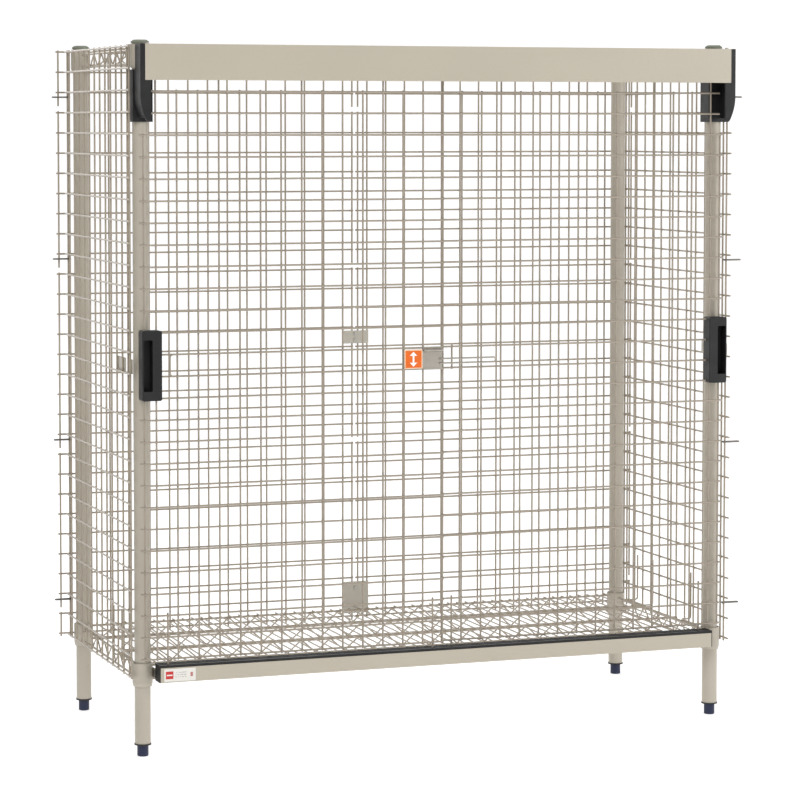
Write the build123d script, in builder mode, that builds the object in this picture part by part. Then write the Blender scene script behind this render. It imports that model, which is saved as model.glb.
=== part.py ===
"""A lockable wire security cage: four posts, two wire shelves, wire panels and two sliding wire doors.

X runs along the front, left to right, Y from front to back and Z up. The origin is on the floor, at the
middle of the footprint. A reach is a distance outwards from the line through the post centres.
"""

import os
from build123d import *

os.makedirs("parts", exist_ok=True)

# ---- frame: posts, feet and shelves ----
post_spacing_x = 1486.0
post_spacing_y = 574.5
post_diameter = 38.0
post_wall = 1.8
post_top = 1684.0
cap_lip = 2.5
cap_height = 8.0
cap_plug = 16.0
foot_diameter = 27.0
foot_height = 27.0
foot_travel = 20.0
stem_diameter = 12.0
stem_length = 62.0
stem_clearance = 0.3
insert_lip = 1.25
insert_flange = 3.5
insert_plug = 26.0
collar_wall = 2.6
collar_height = 56.0
collar_cone = 8.0
cone_edge = 0.6
sleeve_wall = 2.4
sleeve_height = 48.0
floor_shelf_top = 222.0
roof_shelf_top = 1681.0
collar_rise = 1.0
deck_wire = 3.6
deck_spacing = 25.4
deck_end_gap = 10.0
deck_overhang = 3.0
edge_wire = 5.5
truss_wire = 4.0
truss_height = 32.0
zigzag_wire = 3.6
zigzag_spacing = 76.0
zigzag_bend = 4.0
zigzag_end_gap = 22.0
inner_trusses = 2

# ---- welded wire panels ----
mesh_wire = 4.5
mesh_size = 51.0
panel_bottom_row = 194.8
panel_top_row = 1676.7
wire_end = 4.0
wire_tail = 7.0
side_panel_gap = 4.5
side_edge_gap = 19.2
side_front_reach = 16.0
side_front_stub = 14.0
rear_panel_gap = 1.0
corner_gap = 3.0
rear_edge_gap = 25.7
rear_middle_gap = 8.0
rear_corner_overlap = 19.0
edge_break = 12.0
break_drop = 29.0
loop_levels = (297.0, 705.8, 1165.7, 1574.5)
loop_drop = 12.0
loop_wire = 4.0
loop_tip = 5.2
loop_reach = 32.0
loop_inside = 6.0
clip_wire = 4.0
clip_height = 120.0
near_clip = (26.5, 77.0)
far_clip = (12.0, 96.0)

# ---- plates between the panels ----
plate_thickness = 2.0
joiner_width = 73.0
upper_joiner_height = 34.0
upper_screw_spacing = 16.0
lower_joiner_inset = 9.0
side_plate = (38.0, 112.0)
side_plate_heights = (910.0, 944.0)
screw_diameter = 5.0
screw_head_diameter = 9.0
screw_head = 3.0
washer_diameter = 15.0
washer = 2.0
nut = 4.5
screw_end = 2.0

# ---- header and the two-lane track behind it ----
header_reach = 81.0
header_overlap = 9.0
header_top = 1681.0
header_height = 84.0
header_sheet = 1.5
header_lip = 8.0
header_depth = 54.0
lane_rear = 36.0
lane_front = 50.0
hanger_bar = 2.5
hanger_bar_height = 20.0
hanger_bar_top = 1632.0
hanger_tab_width = 30.0
roller_diameter = 24.0
roller_width = 5.0
roller_gap = 0.5
roller_drop = 3.0
roller_ride = 0.3
axle_diameter = 5.0
axle_clearance = 0.2
axle_head_diameter = 9.0
axle_head = 1.2
track_sheet = 2.0
track_web = 1.6
roller_inset = 102.0
arm_start = 34.0
bracket_wall = 12.0
bracket_bottom = 1500.0
bracket_clamp_top = 1622.0
bracket_flange = 7.0
bracket_flange_width = 14.0
bracket_round = 10.0
bracket_taper = (17.0, 62.0)
lug_width = 14.0
lug_height = 22.0
lug_reach = (62.0, 79.0)
clamp_screw_heights = (1530.0, 1592.0)
top_screw_length = 14.0

# ---- front rail and guide track ----
rail_end_gap = 27.0
rail_top = 218.0
rail_height = 35.0
rail_front_reach = 65.0
rail_back_reach = 22.0
rail_sheet = 1.5
track_top = 224.0
track_depth = 20.0
groove_depth = 17.0
groove_width = 7.0
track_leg = 3.0
cap_plate = 2.5
cap_inset = 10.0
rail_bracket_length = 49.0
rail_bracket_sheet = 2.5
rail_bracket_heights = (188.0, 210.0)
rail_bracket_back = 8.0
rail_bolt_diameter = 6.0
rail_bolt_head_diameter = 10.0
rail_bolt_head = 4.0
rail_bolt_inset = 31.0
label_size = (77.0, 30.0)
label_thickness = 0.8
label_inset = 8.0

# ---- doors ----
door_meeting_gap = 1.6
door_post_gap = 23.5
door_bottom_row = 237.7
door_top_row = 1571.5
row_stub = 3.0
row_bend_start = 24.5
row_bend_end = 37.5
row_bend_back = 10.25
row_bend_radius = 8.0
short_row_stub = 22.0
short_rows = 2
pin_bottom = 208.0
pin_rows = 2
pin_wire = 4.5
handle_width = 48.0
handle_post_gap = 35.0
handle_heights = (848.0, 1012.8)
handle_reach = (25.0, 59.0)
handle_round = 5.0
recess_width = 22.0
recess_edge = 3.0
recess_end = 22.0
recess_depth = 28.0
recess_round = 3.0
wire_socket = 5.0
latch_side = -1
stay_wire = 4.0
stay_inner = 112.0
stay_inset = 31.0

# ---- latch ----
latch_pin_diameter = 3.6
latch_pin_rise = 45.4
latch_pin_gap = 4.0
latch_pin_span = (-57.0, -5.0)
latch_base_span = (-55.0, -6.0)
latch_base_lap = 2.0
latch_base_sheet = 1.5
knuckle_diameter = 7.0
knuckle_length = 6.0
knuckle_clearance = 0.4
lever_span = (-56.0, -7.0)
lever_rise = 3.4
lever_gap = 1.2
lever_sheet = 1.5
lever_clearance = 0.2
tab_span = (-105.0, -57.5)
tab_rise = (1.0, 48.0)
latch_label_size = 46.0
latch_label_thickness = 0.5
hasp_wire = 4.0
hasp_rise = (13.4, 24.4)
hasp_end = 131.0
hasp_start = -14.0

# ---- places that follow from the sizes ----
post_x = post_spacing_x / 2
post_radius = post_diameter / 2
bore_radius = post_radius - post_wall
sleeve_radius = post_radius + sleeve_wall
collar_radius = sleeve_radius + collar_wall
seam_turn = (0, 0, 45)
rear_face_reach = collar_radius + rear_panel_gap + mesh_wire
rear_reach = rear_face_reach + washer + nut + screw_end
overall_depth = header_reach + post_spacing_y + rear_reach
y_front = header_reach - overall_depth / 2
y_rear = y_front + post_spacing_y
corners = {
    "front_left": (-post_x, y_front),
    "front_right": (post_x, y_front),
    "rear_left": (-post_x, y_rear),
    "rear_right": (post_x, y_rear),
}
side_face_x = post_x + collar_radius + side_panel_gap + mesh_wire
side_front_y = y_front - side_front_reach
side_rear_y = y_rear + rear_face_reach - mesh_wire - corner_gap - wire_tail
rear_outer_x = side_face_x + rear_corner_overlap
rear_wire_y = y_rear + rear_face_reach - mesh_wire / 2
post_bottom = foot_height + insert_flange
header_bottom = header_top - header_height
header_half_length = post_x + header_overlap
rail_half_length = post_x - rail_end_gap
door_outer_wire = post_x - door_post_gap
roller_radius = roller_diameter / 2
top_plate_bottom = header_top - header_sheet - track_sheet
roller_z = top_plate_bottom - roller_drop - roller_radius
ledge_top = roller_z - roller_radius - roller_ride


def spread(start, end, size):
    """Evenly spaced places from start to end, as near to size apart as a whole number of cells gives."""
    cells = max(1, round(abs(end - start) / size))
    return [start + (end - start) * n / cells for n in range(cells + 1)]


def front(reach):
    """Y of a place that is this far in front of the front posts."""
    return y_front - reach


def nearest(rows, height):
    """Where in a list of row heights the row nearest to a height is."""
    return min(range(len(rows)), key=lambda n: abs(rows[n] - height))


def save(name, piece):
    piece.part.label = name
    export_step(piece.part, f"parts/{name}.step")


def upright_wires(places, bottom, top, diameter):
    """Adds a vertical wire at each (x, y)."""
    with BuildSketch(Plane.XY.offset(bottom)) as ends:
        with Locations(*places):
            Circle(diameter / 2)
    extrude(ends.sketch, amount=top - bottom)


def lengthwise_wires(places, left, right, diameter):
    """Adds a wire along X at each (y, z)."""
    with BuildSketch(Plane.YZ.offset(left)) as ends:
        with Locations(*places):
            Circle(diameter / 2)
    extrude(ends.sketch, amount=right - left)


def crosswise_wires(places, near, far, diameter):
    """Adds a wire along Y at each (x, z)."""
    with BuildSketch(Plane.XZ.offset(-near)) as ends:
        with Locations(*places):
            Circle(diameter / 2)
    extrude(ends.sketch, amount=near - far)


def bent_wire(points, radius, diameter):
    """Adds one bent wire through the points."""
    with BuildLine() as path:
        FilletPolyline(*points, radius=radius)
    with BuildSketch(Plane(origin=path.line @ 0, z_dir=path.line % 0)) as end:
        Circle(diameter / 2)
    sweep(end.sketch, path=path.line)


def block(x, y, z, mode=Mode.ADD):
    """Adds or cuts a block that spans the pairs x, y and z, each given low to high."""
    with BuildSketch(Plane.XY.offset(z[0])) as face:
        with Locations(((x[0] + x[1]) / 2, (y[0] + y[1]) / 2)):
            Rectangle(x[1] - x[0], y[1] - y[0])
    extrude(face.sketch, amount=z[1] - z[0], mode=mode)


def ordered(a, b):
    return (min(a, b), max(a, b))


# ---- posts, caps, inserts and feet ----
for corner, (x, y) in corners.items():
    with BuildPart() as post:
        with BuildSketch(Plane.XY.offset(post_bottom)):
            with Locations((x, y)):
                Circle(post_radius)
                Circle(bore_radius, mode=Mode.SUBTRACT)
        extrude(amount=post_top - post_bottom)
    save(f"{corner}_post", post)

with BuildPart() as post_caps:
    with Locations(*[(x, y, post_top) for x, y in corners.values()]):
        Cylinder(post_radius + cap_lip, cap_height, align=(Align.CENTER, Align.CENTER, Align.MIN))
    top_edges = post_caps.edges().group_by(Axis.Z)[-1]
    chamfer(top_edges, length=cap_height / 2, length2=cap_height / 2 + 2)
    with Locations(*[(x, y, post_top) for x, y in corners.values()]):
        Cylinder(bore_radius, cap_plug, align=(Align.CENTER, Align.CENTER, Align.MAX))
save("post_caps", post_caps)

with BuildPart() as foot_inserts:
    with Locations(*[(x, y, foot_height) for x, y in corners.values()]):
        Cylinder(
            post_radius + insert_lip, insert_flange, align=(Align.CENTER, Align.CENTER, Align.MIN)
        )
    with Locations(*[(x, y, post_bottom) for x, y in corners.values()]):
        Cylinder(bore_radius, insert_plug, align=(Align.CENTER, Align.CENTER, Align.MIN))
    with Locations(*[(x, y, foot_height) for x, y in corners.values()]):
        Cylinder(
            stem_diameter / 2 + stem_clearance,
            insert_flange + insert_plug,
            align=(Align.CENTER, Align.CENTER, Align.MIN),
            mode=Mode.SUBTRACT,
        )
save("foot_inserts", foot_inserts)

for corner, (x, y) in corners.items():
    with BuildPart() as foot:
        with Locations((x, y, 0)):
            Cylinder(foot_diameter / 2, foot_height, align=(Align.CENTER, Align.CENTER, Align.MIN))
        chamfer(foot.edges().group_by(Axis.Z)[0], length=1.5)
        with Locations((x, y, foot_height)):
            Cylinder(
                stem_diameter / 2, stem_length, align=(Align.CENTER, Align.CENTER, Align.MIN)
            )
    save(f"{corner}_foot", foot)


# ---- shelves ----
def zigzag(start, end, low, high):
    """Heights that alternate between low and high, at even places from start to end."""
    places = spread(start, end, zigzag_spacing / 2)
    return [(place, high if n % 2 else low) for n, place in enumerate(places)]


def shelf(name, top):
    deck_z = top - deck_wire / 2
    long_z = deck_z - (deck_wire + edge_wire) / 2
    side_z = long_z - edge_wire
    long_low = long_z - truss_height
    side_low = side_z - truss_height
    collar_top = top + collar_rise
    reach_x = post_x - collar_radius
    near_y, far_y = y_front + collar_radius, y_rear - collar_radius

    with BuildPart() as collars:
        top_align = (Align.CENTER, Align.CENTER, Align.MAX)
        places = [(x, y, collar_top) for x, y in corners.values()]
        with Locations(*places):
            Cylinder(collar_radius, collar_height, rotation=seam_turn, align=top_align)
        low_rims = collars.edges().group_by(Axis.Z)[0]
        chamfer(low_rims, length=collar_cone, length2=collar_radius - sleeve_radius - cone_edge)
        with Locations(*places):
            Cylinder(
                sleeve_radius,
                collar_height,
                rotation=seam_turn,
                align=top_align,
                mode=Mode.SUBTRACT,
            )
        if name == "floor":
            with Locations(*[(side * reach_x, y_front, rail_bolt_z) for side in (-1, 1)]):
                Cylinder(
                    rail_bolt_diameter / 2,
                    2 * (collar_radius - sleeve_radius),
                    rotation=(0, 90, 0),
                    mode=Mode.SUBTRACT,
                )
    save(f"{name}_shelf_collars", collars)

    with BuildPart() as deck:
        half = reach_x - deck_end_gap
        places = [(x, deck_z) for x in spread(-half, half, deck_spacing)]
        crosswise_wires(places, y_front - deck_overhang, y_rear + deck_overhang, deck_wire)
    save(f"{name}_shelf_deck", deck)

    inner_y = [
        y_front + (y_rear - y_front) * (n + 1) / (inner_trusses + 1) for n in range(inner_trusses)
    ]
    zig_half = reach_x - zigzag_end_gap
    with BuildPart() as trusses:
        lengthwise_wires(
            [(y, z) for y in (y_front, y_rear) for z in (long_z, long_low)],
            -reach_x,
            reach_x,
            edge_wire,
        )
        lengthwise_wires([(y, long_z) for y in inner_y], -post_x, post_x, edge_wire)
        lengthwise_wires([(y, long_low) for y in inner_y], -zig_half, zig_half, truss_wire)
        crosswise_wires(
            [(side * post_x, z) for side in (-1, 1) for z in (side_z, side_low)],
            near_y,
            far_y,
            edge_wire,
        )
    offset_y = (edge_wire + zigzag_wire) / 2
    waves = zigzag(-zig_half, zig_half, long_low, long_z)
    with BuildPart() as zigzags:
        for y, way in [(y_front, 1), (y_rear, -1)] + [(y, 1) for y in inner_y]:
            bent_wire([(x, y + way * offset_y, z) for x, z in waves], zigzag_bend, zigzag_wire)
        side_waves = zigzag(near_y + zigzag_end_gap, far_y - zigzag_end_gap, side_low, side_z)
        for side in (-1, 1):
            x = side * (post_x - offset_y)
            bent_wire([(x, y, z) for y, z in side_waves], zigzag_bend, zigzag_wire)
    save(f"{name}_shelf_trusses", trusses)
    save(f"{name}_shelf_zigzags", zigzags)
    return {"long_z": long_z, "side_z": side_z, "collar_top": collar_top}


rail_bolt_z = sum(rail_bracket_heights) / 2
floor_shelf = shelf("floor", floor_shelf_top)
roof_shelf = shelf("roof", roof_shelf_top)

with BuildPart() as shelf_sleeves:
    for level in (floor_shelf, roof_shelf):
        bottom = level["collar_top"] - (collar_height + sleeve_height) / 2
        with BuildSketch(Plane.XY.offset(bottom)):
            with Locations(*corners.values()):
                Circle(sleeve_radius)
                Circle(post_radius, mode=Mode.SUBTRACT)
        extrude(amount=sleeve_height)
save("shelf_sleeves", shelf_sleeves)


# ---- side and rear panels ----
panel_rows = spread(panel_bottom_row, panel_top_row, mesh_size)
wire_bottom = panel_bottom_row - wire_tail
wire_top = panel_top_row + wire_end
loop_heights = [panel_rows[nearest(panel_rows, level)] - loop_drop for level in loop_levels]

for side, name in ((-1, "left"), (1, "right")):
    inner = spread(side_front_y + side_edge_gap, side_rear_y - side_edge_gap, mesh_size)
    with BuildPart() as side_panel:
        columns = [side_front_y, *inner, side_rear_y]
        x = side * (side_face_x - mesh_wire / 2)
        upright_wires([(x, y) for y in columns], wire_bottom, wire_top, mesh_wire)
        x = side * (side_face_x + mesh_wire / 2)
        crosswise_wires(
            [(x, z) for z in panel_rows],
            side_front_y - side_front_stub,
            side_rear_y + wire_tail,
            mesh_wire,
        )
    save(f"{name}_side_panel", side_panel)

for side, name in ((-1, "left"), (1, "right")):
    near_x, far_x = rear_middle_gap, rear_outer_x
    inner = spread(near_x + rear_edge_gap, far_x - rear_edge_gap, mesh_size)
    y = rear_wire_y
    with BuildPart() as rear_panel:
        upright_wires([(side * x, y) for x in inner], wire_bottom, wire_top, mesh_wire)
        breaks = [wire_bottom]
        for height in loop_heights:
            middle = height - break_drop
            breaks += [middle - edge_break / 2, middle + edge_break / 2]
        breaks.append(wire_top)
        for low, high in zip(breaks[::2], breaks[1::2]):
            upright_wires([(side * x, y) for x in (near_x, far_x)], low, high, mesh_wire)
        left, right = ordered(side * (near_x - row_stub - 2), side * (far_x + wire_end + 1))
        lengthwise_wires([(y + mesh_wire, z) for z in panel_rows], left, right, mesh_wire)
    save(f"{name}_rear_panel", rear_panel)

with BuildPart() as panel_loops:
    leg = (mesh_wire + loop_wire) / 2 + 0.1
    for side, y in ((-1, side_rear_y), (1, side_front_y)):
        inside = side_face_x - mesh_wire / 2 - loop_inside
        tip = side_face_x + mesh_wire + loop_reach
        slope = (leg - loop_tip / 2) / (tip - side_face_x + mesh_wire / 2)
        spread_y = loop_tip / 2 + slope * (tip - inside)
        for z in loop_heights:
            points = [
                (side * inside, y - spread_y, z),
                (side * tip, y - loop_tip / 2, z),
                (side * tip, y + loop_tip / 2, z),
                (side * inside, y + spread_y, z),
            ]
            bent_wire(points, loop_tip / 2, loop_wire)
save("panel_loops", panel_loops)

with BuildPart() as panel_clips:
    clip_x = side_face_x - mesh_wire - clip_wire / 2
    foot_z = floor_shelf["side_z"] + (edge_wire + clip_wire) / 2
    first_truss = y_front + post_spacing_y / (inner_trusses + 1)
    last_truss = y_rear - post_spacing_y / (inner_trusses + 1)
    spans = (
        (first_truss - sum(near_clip), first_truss - near_clip[0]),
        (last_truss + far_clip[0], last_truss + sum(far_clip)),
    )
    for side in (-1, 1):
        for near, far in spans:
            points = [
                (side * clip_x, near, foot_z + clip_height),
                (side * clip_x, near, foot_z),
                (side * post_x, near, foot_z),
                (side * post_x, far, foot_z),
                (side * clip_x, far, foot_z),
                (side * clip_x, far, foot_z + clip_height),
            ]
            bent_wire(points, clip_wire * 1.5, clip_wire)
save("panel_clips", panel_clips)

# ---- plates that join the rear panels and stiffen the side panels ----
plate_y = (rear_wire_y - mesh_wire / 2 - plate_thickness, rear_wire_y - mesh_wire / 2)
upper_row = len(panel_rows) // 2 - 1
upper_middle = (panel_rows[upper_row] + panel_rows[upper_row + 1]) / 2
upper_joiner = (upper_middle - upper_joiner_height / 2, upper_middle + upper_joiner_height / 2)
lower_joiner = (panel_rows[0] + lower_joiner_inset, panel_rows[2] - lower_joiner_inset)
joiner_screws_z = {
    "upper": (upper_middle - upper_screw_spacing / 2, upper_middle + upper_screw_spacing / 2),
    "lower": ((panel_rows[0] + panel_rows[1]) / 2, (panel_rows[1] + panel_rows[2]) / 2),
}
for level, heights in (("upper", upper_joiner), ("lower", lower_joiner)):
    with BuildPart() as joiner:
        block((-joiner_width / 2, joiner_width / 2), plate_y, heights)
        with Locations(*[(0, sum(plate_y) / 2, z) for z in joiner_screws_z[level]]):
            Cylinder(
                screw_diameter / 2, plate_thickness, rotation=(90, 0, 0), mode=Mode.SUBTRACT
            )
    save(f"{level}_joiner_plate", joiner)

with BuildPart() as joiner_screws:
    face_y = rear_wire_y + mesh_wire / 2
    for z in (*joiner_screws_z["upper"], *joiner_screws_z["lower"]):
        for diameter, near, far in (
            (screw_head_diameter, plate_y[0] - screw_head, plate_y[0]),
            (screw_diameter, plate_y[0], face_y + washer + nut + screw_end),
            (washer_diameter, face_y, face_y + washer),
            (screw_head_diameter, face_y + washer, face_y + washer + nut),
        ):
            with BuildSketch(Plane.XZ.offset(-near)):
                with Locations((0, z)):
                    Circle(diameter / 2)
            extrude(amount=near - far)
save("joiner_screws", joiner_screws)

with BuildPart() as side_panel_plates:
    for side in (-1, 1):
        inside = side_face_x - mesh_wire
        x = ordered(side * (inside - plate_thickness), side * inside)
        block(x, (y_front + side_plate[0], y_front + side_plate[1]), side_plate_heights)
        block(x, (side_front_y - side_front_stub, side_front_y + mesh_wire), side_plate_heights)
save("side_panel_plates", side_panel_plates)


# ---- header, track and brackets ----
def profile(points):
    """The outline of a long section, with each point given as (reach in front of the posts, height)."""
    with BuildSketch(Plane.YZ.offset(-header_half_length)) as section:
        with BuildLine():
            Polyline(*[(front(reach), z) for reach, z in points], close=True)
        make_face()
    return section.sketch


header_back = header_reach - header_depth
lug_x = header_half_length - lug_width / 2
lug_y = sum(lug_reach) / 2
with BuildPart() as header_fascia:
    inner_front = header_reach - header_sheet
    outline = [
        (header_back, header_top),
        (header_reach, header_top),
        (header_reach, header_bottom),
        (header_reach - header_lip, header_bottom),
        (header_reach - header_lip, header_bottom + header_sheet),
        (inner_front, header_bottom + header_sheet),
        (inner_front, header_top - header_sheet),
        (header_back, header_top - header_sheet),
    ]
    extrude(profile(outline), amount=2 * header_half_length)
    with Locations(*[(side * lug_x, front(lug_y), header_top) for side in (-1, 1)]):
        Cylinder(screw_diameter / 2, 4 * header_sheet, mode=Mode.SUBTRACT)
save("header_fascia", header_fascia)

ledge_start = hanger_bar + roller_gap + 0.1
web_start = hanger_bar + roller_gap + roller_width + axle_head + 1.0
with BuildPart() as upper_track:
    plate_start = lane_rear - 2
    block(
        (-header_half_length, header_half_length),
        (front(lug_reach[1]), front(plate_start)),
        (top_plate_bottom, top_plate_bottom + track_sheet),
    )
    for lane in (lane_rear, lane_front):
        web = (lane + web_start, lane + web_start + track_web)
        block(
            (-header_half_length, header_half_length),
            (front(web[1]), front(web[0])),
            (ledge_top - track_sheet, top_plate_bottom),
        )
        block(
            (-header_half_length, header_half_length),
            (front(web[0]), front(lane + ledge_start)),
            (ledge_top - track_sheet, ledge_top),
        )
    with Locations(*[(side * lug_x, front(lug_y), top_plate_bottom) for side in (-1, 1)]):
        Cylinder(screw_diameter / 2, 4 * track_sheet, mode=Mode.SUBTRACT)
save("upper_track", upper_track)

for side, name in ((-1, "left"), (1, "right")):
    wall = ordered(side * header_half_length, side * (header_half_length + bracket_wall))
    clamp = (side * post_x - collar_radius, side * post_x + collar_radius)
    with BuildPart() as bracket:
        block(
            clamp,
            (front(collar_radius), front(-collar_radius)),
            (bracket_bottom, bracket_clamp_top),
        )
        block(wall, (front(header_reach), front(0)), (bracket_bottom, bracket_clamp_top))
        flange = ordered(
            side * (header_half_length - bracket_flange_width),
            side * (header_half_length + bracket_wall),
        )
        block(
            flange,
            (front(header_reach), front(header_reach - bracket_flange)),
            (bracket_bottom, header_bottom),
        )
        block(wall, (front(header_reach), front(arm_start)), (bracket_clamp_top, header_top))
        low_front = (
            bracket.edges()
            .filter_by(Axis.X)
            .filter_by(lambda edge: edge.center().Z < bracket_bottom + 1)
            .sort_by(Axis.Y)[0]
        )
        fillet(low_front, bracket_round / 2)
        outer_x = side * (header_half_length + bracket_wall)
        low_x = outer_x - side * bracket_taper[0]
        taper_top = bracket_bottom + bracket_taper[1]
        with BuildSketch(Plane.XZ.offset(-front(header_reach))):
            with BuildLine():
                ThreePointArc(
                    (outer_x, taper_top),
                    (outer_x - side * bracket_taper[0] / 4, bracket_bottom + bracket_taper[1] / 2),
                    (low_x, bracket_bottom),
                )
                Polyline(
                    (low_x, bracket_bottom),
                    (outer_x + side, bracket_bottom - 1),
                    (outer_x + side, taper_top),
                    (outer_x, taper_top),
                )
            make_face()
        extrude(amount=collar_radius - header_reach, mode=Mode.SUBTRACT)
        lug = ordered(side * (header_half_length - lug_width), side * header_half_length)
        block(
            lug,
            (front(lug_reach[1]), front(lug_reach[0])),
            (top_plate_bottom - lug_height, top_plate_bottom),
        )
        with Locations((side * post_x, y_front, bracket_bottom)):
            Cylinder(
                post_radius,
                2 * (bracket_clamp_top - bracket_bottom),
                mode=Mode.SUBTRACT,
            )
        with Locations((side * lug_x, front(lug_y), top_plate_bottom)):
            Cylinder(screw_diameter / 2, 2 * top_screw_length, mode=Mode.SUBTRACT)
        with Locations(
            *[(side * post_x, y_front + collar_radius, z) for z in clamp_screw_heights]
        ):
            Cylinder(
                screw_diameter / 2,
                2 * (collar_radius - post_radius),
                rotation=(90, 0, 0),
                mode=Mode.SUBTRACT,
            )
    save(f"{name}_header_bracket", bracket)

with BuildPart() as header_screws:
    with BuildSketch(Plane.XY.offset(header_top)):
        with Locations(*[(side * lug_x, front(lug_y)) for side in (-1, 1)]):
            Circle(screw_head_diameter / 2)
    extrude(amount=screw_head)
    with BuildSketch(Plane.XY.offset(header_top)):
        with Locations(*[(side * lug_x, front(lug_y)) for side in (-1, 1)]):
            Circle(screw_diameter / 2)
    extrude(amount=-top_screw_length)
    back_y = y_front + collar_radius
    for diameter, near, far in (
        (screw_diameter, y_front + post_radius, back_y),
        (screw_head_diameter, back_y, back_y + screw_head),
    ):
        with BuildSketch(Plane.XZ.offset(-near)):
            with Locations(*[(side * post_x, z) for side in (-1, 1) for z in clamp_screw_heights]):
                Circle(diameter / 2)
        extrude(amount=near - far)
save("header_screws", header_screws)

# ---- front rail, guide track and what holds them ----
rail_bottom = rail_top - rail_height
rail_x = (-rail_half_length, rail_half_length)
bolt_x = rail_half_length - rail_bolt_inset
with BuildPart() as front_rail:
    block(rail_x, (front(rail_front_reach), front(rail_back_reach)), (rail_bottom, rail_top))
    block(
        rail_x,
        (front(rail_front_reach - rail_sheet), front(rail_back_reach + rail_sheet)),
        (rail_bottom + rail_sheet, rail_top),
        mode=Mode.SUBTRACT,
    )
    with Locations(*[(side * bolt_x, front(rail_back_reach), rail_bolt_z) for side in (-1, 1)]):
        Cylinder(
            screw_diameter / 2, 4 * rail_sheet, rotation=(90, 0, 0), mode=Mode.SUBTRACT
        )
save("front_rail", front_rail)

track_y = (front(rail_front_reach - rail_sheet), front(rail_back_reach + rail_sheet))
with BuildPart() as guide_track:
    block(rail_x, track_y, (track_top - track_depth, track_top))
    for lane in (lane_rear, lane_front):
        middle = front(lane - mesh_wire / 2)
        block(
            rail_x,
            (middle - groove_width / 2, middle + groove_width / 2),
            (track_top - groove_depth, track_top),
            mode=Mode.SUBTRACT,
        )
    for leg_y in (track_y[0], track_y[1] - track_leg):
        block(
            rail_x,
            (leg_y, leg_y + track_leg),
            (rail_bottom + rail_sheet, track_top - track_depth),
        )
    with Locations(*[(side * bolt_x, track_y[1], rail_bolt_z) for side in (-1, 1)]):
        Cylinder(
            screw_diameter / 2, 2 * track_leg, rotation=(90, 0, 0), mode=Mode.SUBTRACT
        )
save("guide_track", guide_track)

with BuildPart() as rail_end_caps:
    for side in (-1, 1):
        x = ordered(side * rail_half_length, side * (rail_half_length + cap_plate))
        cap_y = (track_y[0], front(rail_back_reach + rail_bracket_sheet))
        block(x, cap_y, (rail_bottom, track_top))
        x = ordered(side * rail_half_length, side * (rail_half_length - cap_inset))
        plug_y = (track_y[0] + track_leg + 1, track_y[1] - track_leg - 1)
        block(x, plug_y, (rail_bottom + rail_sheet, track_top - track_depth))
save("rail_end_caps", rail_end_caps)

tab_x = post_x - collar_radius
with BuildPart() as rail_brackets:
    for side in (-1, 1):
        x = ordered(side * (tab_x - rail_bracket_length), side * tab_x)
        leg_y = (front(rail_back_reach), front(rail_back_reach - rail_bracket_sheet))
        block(x, leg_y, rail_bracket_heights)
        x = ordered(side * (tab_x - rail_bracket_sheet), side * tab_x)
        block(x, (leg_y[0], front(-rail_bracket_back)), rail_bracket_heights)
    with Locations(*[(side * bolt_x, front(rail_back_reach), rail_bolt_z) for side in (-1, 1)]):
        Cylinder(
            screw_diameter / 2,
            4 * rail_bracket_sheet,
            rotation=(90, 0, 0),
            mode=Mode.SUBTRACT,
        )
    with Locations(*[(side * tab_x, y_front, rail_bolt_z) for side in (-1, 1)]):
        Cylinder(
            rail_bolt_diameter / 2,
            4 * rail_bracket_sheet,
            rotation=(0, 90, 0),
            mode=Mode.SUBTRACT,
        )
save("rail_brackets", rail_brackets)

with BuildPart() as rail_bolts:
    head_x = tab_x - rail_bracket_sheet
    bolt_end = tab_x + collar_radius - sleeve_radius
    for side in (-1, 1):
        for diameter, near, far in (
            (rail_bolt_head_diameter, head_x - rail_bolt_head, head_x),
            (rail_bolt_diameter, head_x, bolt_end),
        ):
            with BuildSketch(Plane.YZ.offset(side * near)):
                with Locations((y_front, rail_bolt_z)):
                    Circle(diameter / 2)
            extrude(amount=side * (far - near))
    back_y = front(rail_back_reach - rail_bracket_sheet)
    for diameter, near, far in (
        (screw_diameter, track_y[1] - track_leg, back_y),
        (screw_head_diameter, back_y, back_y + screw_head),
    ):
        with BuildSketch(Plane.XZ.offset(-near)):
            with Locations(*[(side * bolt_x, rail_bolt_z) for side in (-1, 1)]):
                Circle(diameter / 2)
        extrude(amount=near - far)
save("rail_bolts", rail_bolts)

with BuildPart() as rail_label:
    left = label_inset - rail_half_length
    middle_z = (rail_top + rail_bottom) / 2
    block(
        (left, left + label_size[0]),
        (front(rail_front_reach + label_thickness), front(rail_front_reach)),
        (middle_z - label_size[1] / 2, middle_z + label_size[1] / 2),
    )
save("rail_label", rail_label)

# ---- doors ----
door_rows = spread(door_bottom_row, door_top_row, mesh_size)
door_columns = spread(door_outer_wire, door_meeting_gap, mesh_size)
column_pitch = door_columns[0] - door_columns[1]
roller_columns = (door_outer_wire - roller_inset, door_meeting_gap + roller_inset)
bend = Vector(row_bend_end - row_bend_start, row_bend_back)
edge_wire_x = (
    door_outer_wire + (row_bend_start + row_bend_end) / 2 - mesh_wire * bend.Y / bend.length
)
edge_wire_in = row_bend_back / 2 - mesh_wire / 2 + mesh_wire * bend.X / bend.length
handle_inner_edge = post_x - handle_post_gap
handle_outer_edge = handle_inner_edge + handle_width
last = len(door_columns) - 1
hanger_columns = (0, last // 4, last // 2, last - last // 4, last)
latch_row = len(door_rows) // 2


def in_handle(height):
    return handle_heights[0] < height < handle_heights[1]


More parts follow.
